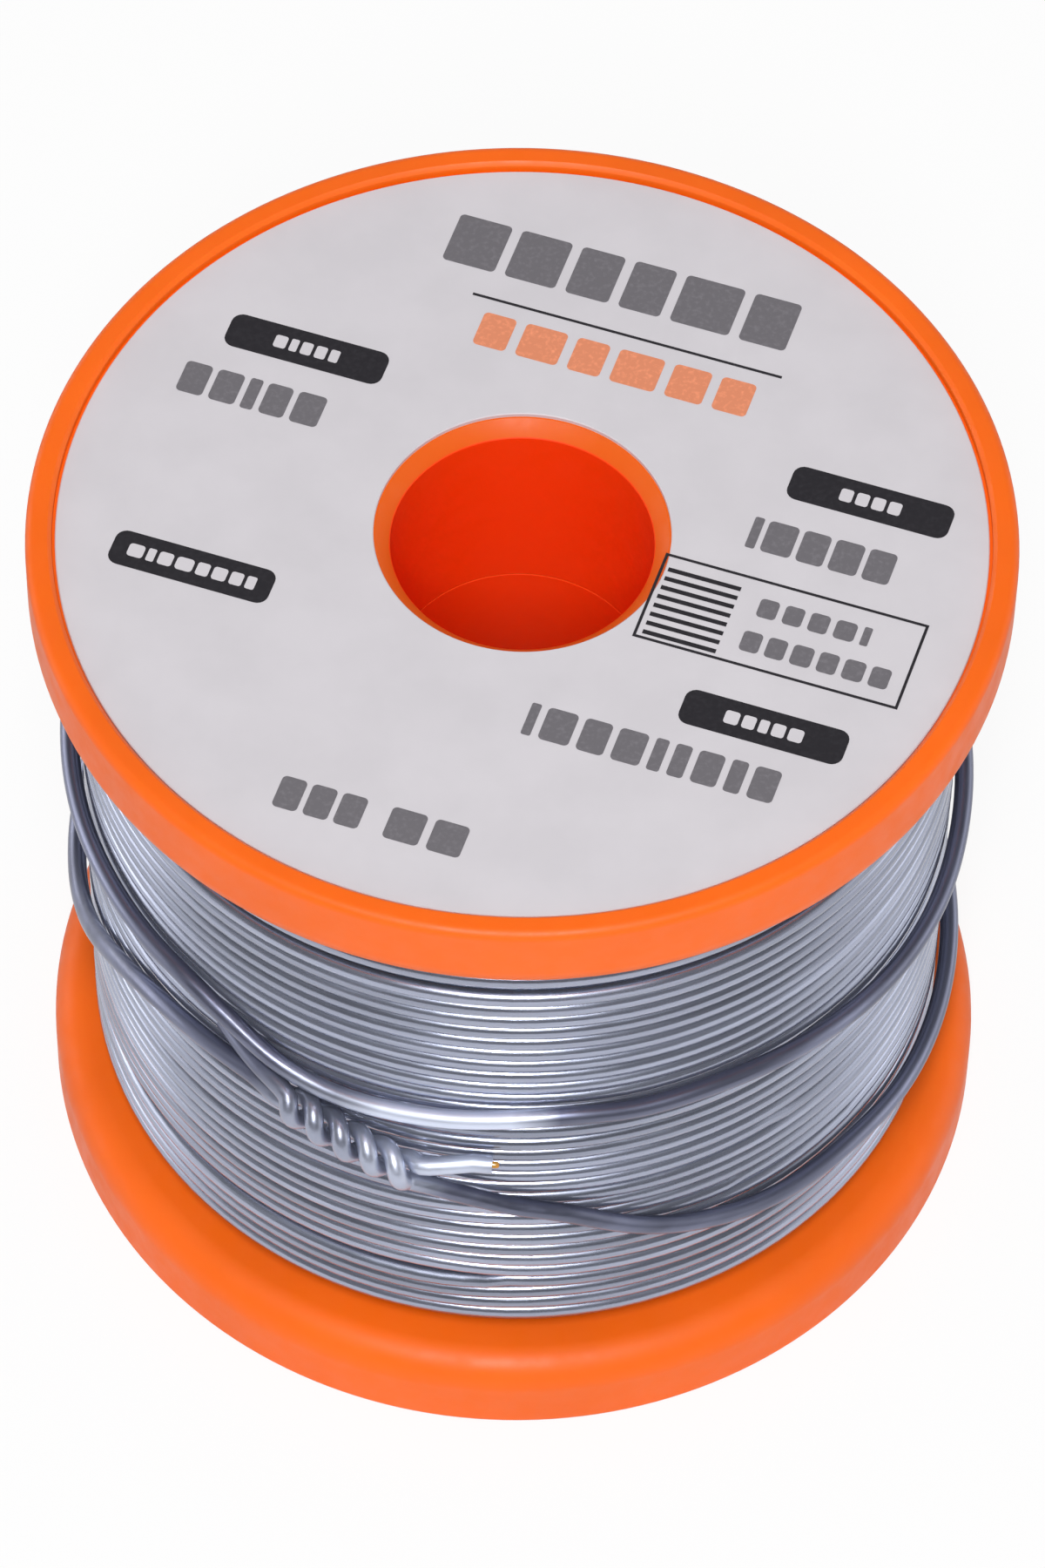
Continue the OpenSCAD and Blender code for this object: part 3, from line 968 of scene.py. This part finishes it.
def moulded_polystyrene(s, c):
    """High-impact polystyrene, injection moulded: a satin sheen with slow flow marks
    in the orange, a fine pitting from the tool and a little light under the skin.
    The bore is painted a deeper red-orange for the light that bounces round inside it,
    and its lead-in a little darker as painted shade."""
    material, tree, shader, place = new_material("moulded_polystyrene", {
        "IOR": 1.59, "Specular IOR Level": 0.27, "Subsurface Weight": 0.12,
        "Subsurface Radius": (1.0, 0.3, 0.12), "Subsurface Scale": 0.9 * MM,
    })
    flow = grain(tree, place, 14)
    base = blended(tree, ranged(tree, flow, 0, 1), tinted(c.plastic), tinted(c.plastic, 0.9))
    radius = apart_from_axis(tree, place)[1]
    # Painted shade on the lead-in, and painted bounce light in the bore
    for edge, (start, end), tone in (
        (s.bore_d / 2 + s.lead_in, LEAD_IN_FADE, tinted(c.plastic, LEAD_IN_PAINTED_SHADE)),
        (s.bore_d / 2, BORE_FADE, tinted(c.bore)),
    ):
        inside = ranged(tree, radius, 1, 0, edge + start, edge + end)
        base = blended(tree, inside, base, tone)
    scuff = ranged(tree, grain(tree, place, 1.6, 4), 0.42, 0.54)
    waves = bump(tree, grain(tree, place, 9), 0.25, 0.12 * MM)
    pits = bump(tree, grain(tree, place, 0.35), 0.25, 0.012 * MM, waves)
    link_up(tree, shader, base, scuff, pits)
    return material


def coated_label_card(c):
    """Coated card, printed and die cut: dull sheen, a faint fibre cloud, cool grey."""
    material, tree, shader, place = new_material("coated_label_card", {"IOR": 1.5})
    cloud = grain(tree, place, 5, 3)
    base = blended(tree, ranged(tree, cloud, 0, 1), tinted(c.card), tinted(c.card, 0.955))
    fibre = grain(tree, place, 0.45, 3)
    relief = bump(tree, fibre, 0.2, 0.01 * MM)
    link_up(tree, shader, base, ranged(tree, fibre, 0.42, 0.55), relief)
    return material


def offset_ink(name, ink):
    """Offset ink on coated card: a shade glossier, with pinholes where the card shows."""
    material, tree, shader, place = new_material(name)
    specks = grain(tree, place, 0.28, 3)
    base = blended(tree, ranged(tree, specks, 0, 1, 0.5, 0.8), tinted(ink), tinted(ink, 1.3))
    link_up(tree, shader, base, ranged(tree, specks, 0.36, 0.46))
    return material


# Pace of the streaks round the spool, tone of the darker turns, and the distances
# over which a spot of painted light fades
STREAK_PACE = 1.2 * MM
LAY_TONE = 0.62
PAINTED_LIGHT_FADE = (4 * MM, 7 * MM)


def drawn_solder(name, metal, tarnish, rough, painted_light_spots=()):
    """Tin-lead wire, drawn through a die: soft metal with fine streaks that run
    along the wire, turns of uneven tone, and slow patches where it has dulled. It can
    be painted lighter round some spots as painted highlight and reflection, each given
    as its middle, the painted colour there and how much rougher it is."""
    material, tree, shader, place = new_material(
        name, {"Metallic": 0.8, "Coat Weight": 0.35, "Coat Roughness": 0.12}
    )
    apart, out = apart_from_axis(tree, place)
    slow_turn = maths(tree, "MULTIPLY", maths(tree, "ARCTAN2", apart["Y"], apart["X"]), STREAK_PACE)
    along = node(
        tree, "ShaderNodeCombineXYZ", {"X": out, "Y": slow_turn, "Z": apart["Z"]}
    ).outputs["Vector"]
    streaks = grain(tree, along, 0.22, 3)
    lay = grain(tree, along, 1.3, 1)
    patches = grain(tree, place, 11, 3)
    dulled = ranged(tree, patches, 0, 1, 0.4, 0.7)
    base = blended(tree, dulled, tinted(metal), tinted(metal, tarnish))
    base = blended(tree, ranged(tree, streaks, 0, 1), base, tinted(metal, 0.9))
    base = blended(tree, ranged(tree, lay, 0, 1), base, tinted(metal, LAY_TONE))
    worn = maths(
        tree, "ADD", ranged(tree, streaks, rough, rough + 0.1),
        ranged(tree, patches, 0, 0.06, 0.4, 0.7)
    )
    # Spots of painted light: a lighter metal colour round each given middle
    for middle, bright, rougher in painted_light_spots:
        away = measured(tree, "DISTANCE", place, middle)
        base = blended(tree, ranged(tree, away, 1, 0, *PAINTED_LIGHT_FADE), base, bright)
        worn = maths(tree, "ADD", worn, ranged(tree, away, rougher, 0, *PAINTED_LIGHT_FADE))
    link_up(tree, shader, base, worn, bump(tree, streaks, 0.3, 0.01 * MM))
    return material


def rosin_flux(c):
    """Rosin, set hard: clear amber with a wet gloss."""
    material, tree, shader, place = new_material("rosin_flux", {
        "Roughness": 0.12, "IOR": 1.53, "Subsurface Weight": 0.3, "Subsurface Scale": 0.3 * MM,
    })
    cloud = grain(tree, place, 0.3)
    base = blended(tree, ranged(tree, cloud, 0, 1), tinted(c.flux), tinted(c.flux, 0.75))
    link_up(tree, shader, base)
    return material


# ---- Stage ----

# The camera: its distance from the middle of the lower face in metres, its height
# angle and roll, how far it looks to the right and up in radians, and its lens in mm
CAMERA_AWAY = 0.5207
CAMERA_UP = math.radians(56.36)
CAMERA_ROLL = math.radians(1.07)
CAMERA_PAN = 0.0006
CAMERA_RISE = 0.0314
CAMERA_LENS = 181.2
# The key lamp: its place round the spool and above it, its distance and size in
# metres, its power in watts and the point it shines at
KEY_TURN = math.radians(268)
KEY_UP = math.radians(58)
KEY_AWAY = 0.9
KEY_SIZE = (0.1, 0.4)
KEY_POWER = 5.7
KEY_AIM = Vector((0, 0, 0.03))
# The world's strength to dull surfaces, and to gloss where nothing pale stands
FILL = 0.43
ROOM = 0.1
# The sweep that gloss sees: its direction, the cosines over which it comes in, and
# the heights over which it ends
SWEEP_AWAY = (-0.14, 0.99, 0)
SWEEP_FROM = (-0.45, 0.0)
SWEEP_TOP = (0.05, 0.55)
# The reflectors, each with its direction and strength, and the cosines of their edge
WALLS = [((-0.906, 0.423, 0), 2.2), ((0.99, 0.14, 0), 1.2)]
WALL_EDGE = (0.7, 0.95)
# The floor: its half width in metres, the tone of its paper, and the share of plain
# white that the camera and gloss see in it
FLOOR_REACH = 3
PAPER = (0.9, 0.9, 0.9, 1)
FLOOR_SEEN = 0.88
FLOOR_MIRRORED = 0.4
WHITE = (1, 1, 1, 1)


def make_camera():
    """Looks down on the labelled flange from the front."""
    ahead = Vector((0, math.cos(CAMERA_UP), -math.sin(CAMERA_UP)))
    place = -CAMERA_AWAY * ahead
    right = Vector((1, 0, 0))
    up = right.cross(ahead)
    ahead = (ahead + math.tan(CAMERA_PAN) * right + math.tan(CAMERA_RISE) * up).normalized()
    right = ahead.cross(up).normalized()
    up = right.cross(ahead)
    turned_right = math.cos(CAMERA_ROLL) * right + math.sin(CAMERA_ROLL) * up
    turned_up = math.cos(CAMERA_ROLL) * up - math.sin(CAMERA_ROLL) * right
    data = bpy.data.cameras.new("camera")
    data.sensor_fit = "AUTO"
    data.sensor_width = 36
    data.lens = CAMERA_LENS
    data.clip_start, data.clip_end = 0.01, 50
    made = new_object("camera", data)
    axes = Matrix((turned_right, turned_up, -ahead)).transposed().to_4x4()
    made.matrix_world = Matrix.Translation(place) @ axes
    bpy.context.scene.camera = made


def make_key_lamp():
    data = bpy.data.lights.new("key_lamp", "AREA")
    data.shape = "RECTANGLE"
    data.size, data.size_y = KEY_SIZE
    data.energy = KEY_POWER
    way = Vector((math.cos(KEY_TURN), math.sin(KEY_TURN), math.tan(KEY_UP))).normalized()
    made = new_object("key_lamp", data)
    made.location = way * KEY_AWAY
    made.rotation_mode = "QUATERNION"
    made.rotation_quaternion = (KEY_AIM - made.location).to_track_quat("-Z", "Y")


def make_world():
    """White to the camera. To gloss it is a dim room, pale low down at the sides and
    behind, where the white sweep rises, with a reflector on the left and on the right."""
    world = bpy.data.worlds.new("studio")
    world.use_nodes = True
    tree = world.node_tree
    tree.nodes.clear()
    way = node(tree, "ShaderNodeTexCoord").outputs["Generated"]
    height = node(tree, "ShaderNodeSeparateXYZ", {"Vector": way}).outputs["Z"]
    behind = ranged(tree, measured(tree, "DOT_PRODUCT", way, SWEEP_AWAY), 0, 1, *SWEEP_FROM)
    low = ranged(tree, height, 1, 0, *SWEEP_TOP)
    seen = ranged(tree, maths(tree, "MULTIPLY", behind, low), ROOM, 1, 0, 1)
    for side, glow in WALLS:
        wall = ranged(tree, measured(tree, "DOT_PRODUCT", way, side), 0, glow, *WALL_EDGE)
        seen = maths(tree, "ADD", seen, wall)
    rays = node(tree, "ShaderNodeLightPath").outputs
    fill = node(tree, "ShaderNodeMix", {0: rays["Is Glossy Ray"], 2: FILL, 3: seen}).outputs[0]
    strength = node(tree, "ShaderNodeMix", {0: rays["Is Camera Ray"], 2: fill, 3: 1.0}).outputs[0]
    light = node(tree, "ShaderNodeBackground", {"Color": WHITE, "Strength": strength})
    output = node(tree, "ShaderNodeOutputWorld")
    tree.links.new(light.outputs["Background"], output.inputs["Surface"])
    bpy.context.scene.world = world


def make_floor():
    """A plain white sweep that keeps the spool's soft shadow."""
    bm = bmesh.new()
    bmesh.ops.create_grid(bm, x_segments=1, y_segments=1, size=FLOOR_REACH)
    floor = new_object("floor", mesh_from(bm, "floor"))
    material = bpy.data.materials.new("white_sweep")
    material.use_nodes = True
    tree = material.node_tree
    tree.nodes.clear()
    paper = node(tree, "ShaderNodeBsdfDiffuse", {"Color": PAPER})
    glow = node(tree, "ShaderNodeEmission", {"Color": WHITE, "Strength": 1.0})
    rays = node(tree, "ShaderNodeLightPath").outputs
    shown = maths(tree, "MULTIPLY", rays["Is Camera Ray"], FLOOR_SEEN)
    mirrored = maths(tree, "MULTIPLY", rays["Is Glossy Ray"], FLOOR_MIRRORED)
    mix = node(tree, "ShaderNodeMixShader", {0: maths(tree, "ADD", shown, mirrored)})
    tree.links.new(paper.outputs[0], mix.inputs[1])
    tree.links.new(glow.outputs[0], mix.inputs[2])
    below = node(tree, "ShaderNodeNewGeometry").outputs["Backfacing"]
    one_sided = node(tree, "ShaderNodeMixShader", {0: below})
    tree.links.new(mix.outputs[0], one_sided.inputs[1])
    tree.links.new(node(tree, "ShaderNodeBsdfTransparent").outputs[0], one_sided.inputs[2])
    output = node(tree, "ShaderNodeOutputMaterial")
    tree.links.new(one_sided.outputs[0], output.inputs["Surface"])
    floor.data.materials.append(material)


def make_stage():
    make_camera()
    make_world()
    make_floor()
    make_key_lamp()
    bpy.context.scene.view_settings.view_transform = "Standard"


# ---- Add-on ----

GROUPS = {"solder_sizes": SpoolSizes, "solder_wire": WireSizes, "solder_colours": SpoolColours}


def settings_of(scene):
    """Sizes of the halves and the label, sizes of the wire, and the colours."""
    return [getattr(scene, name) for name in GROUPS]


def plastic_of(s, c):
    """The plastic of both halves, made once."""
    return bpy.data.materials.get("moulded_polystyrene") or moulded_polystyrene(s, c)


class SpoolOperator:
    bl_options = {"REGISTER", "UNDO"}

    def execute(self, context):
        self.make(*settings_of(context.scene))
        return {"FINISHED"}


class SOLDERSPOOL_OT_lower_half(SpoolOperator, bpy.types.Operator):
    """Add the lower half: flange, ribs and the hub with its spigot"""

    bl_idname = "solder_spool.lower_half"
    bl_label = "Lower half"

    def make(self, s, w, c):
        make_lower_half(s, plastic_of(s, c))


class SOLDERSPOOL_OT_upper_half(SpoolOperator, bpy.types.Operator):
    """Add the upper half: flange, label seat and the hub with its socket"""

    bl_idname = "solder_spool.upper_half"
    bl_label = "Upper half"

    def make(self, s, w, c):
        make_upper_half(s, plastic_of(s, c))


class SOLDERSPOOL_OT_label(SpoolOperator, bpy.types.Operator):
    """Add the label and its plain print"""

    bl_idname = "solder_spool.label"
    bl_label = "Label"

    def make(self, s, w, c):
        card = coated_label_card(c)
        inks = {"black": c.black_ink, "grey": c.grey_ink, "orange": c.orange_ink}
        make_label(s, card)
        make_print(s, *(offset_ink(name + "_offset_ink", ink) for name, ink in inks.items()), card)


class SOLDERSPOOL_OT_winding(SpoolOperator, bpy.types.Operator):
    """Add the level winding, its outer turns over the layer below"""

    bl_idname = "solder_spool.winding"
    bl_label = "Winding"

    def make(self, s, w, c):
        solder = drawn_solder("drawn_solder", c.solder, tarnish=0.82, rough=0.17)
        make_winding(w, solder)
        make_wire_start(s, w, solder)


class SOLDERSPOOL_OT_slack_wire(SpoolOperator, bpy.types.Operator):
    """Add the slack turns, the twist and the free end with its flux core"""

    bl_idname = "solder_spool.slack_wire"
    bl_label = "Slack wire"

    def make(self, s, w, c):
        route = SlackRoute(w)
        painted_light_spots = [
            # Painted reflection: the twist is a lighter metal colour than the rest of the slack
            # wire
            (route.twist_middle(), tinted(c.solder, 0.8), 0),
            # Painted highlight: the front of the upper turn nearly white, where the key lamp's
            # reflection falls
            (route.painted_highlight_place(), tinted(c.solder, 1.7), 0.12),
        ]
        # Painted reflection: the slack wire's darker colour stands in for the dark room it mirrors
        painted_dark_solder = drawn_solder(
            "painted_dark_slack_solder", c.slack_solder_painted_dark, tarnish=0.75, rough=0.3, painted_light_spots=painted_light_spots
        )
        make_slack_wire(w, painted_dark_solder, rosin_flux(c))


class SOLDERSPOOL_OT_stage(SpoolOperator, bpy.types.Operator):
    """Add the floor, the lamp, the world and the camera"""

    bl_idname = "solder_spool.stage"
    bl_label = "Stage"

    def make(self, s, w, c):
        make_stage()


OPERATORS = (
    SOLDERSPOOL_OT_lower_half,
    SOLDERSPOOL_OT_upper_half,
    SOLDERSPOOL_OT_label,
    SOLDERSPOOL_OT_winding,
    SOLDERSPOOL_OT_slack_wire,
    SOLDERSPOOL_OT_stage,
)


class VIEW3D_PT_solder_spool(bpy.types.Panel):
    bl_label = "Solder spool"
    bl_space_type = "VIEW_3D"
    bl_region_type = "UI"
    bl_category = "Solder spool"

    def draw(self, context):
        for group in settings_of(context.scene):
            column = self.layout.column(align=True)
            for name in group.__annotations__:
                column.prop(group, name)
        for operator in OPERATORS:
            self.layout.operator(operator.bl_idname)


CLASSES = (*GROUPS.values(), *OPERATORS, VIEW3D_PT_solder_spool)


def register():
    for made in CLASSES:
        bpy.utils.register_class(made)
    for name, group in GROUPS.items():
        setattr(bpy.types.Scene, name, PointerProperty(type=group))


def unregister():
    for name in GROUPS:
        delattr(bpy.types.Scene, name)
    for made in reversed(CLASSES):
        bpy.utils.unregister_class(made)


def main():
    register()
    bpy.ops.solder_spool.lower_half()
    bpy.ops.solder_spool.upper_half()
    bpy.ops.solder_spool.label()
    bpy.ops.solder_spool.winding()
    bpy.ops.solder_spool.slack_wire()
    bpy.ops.solder_spool.stage()


if __name__ == "__main__":
    main()
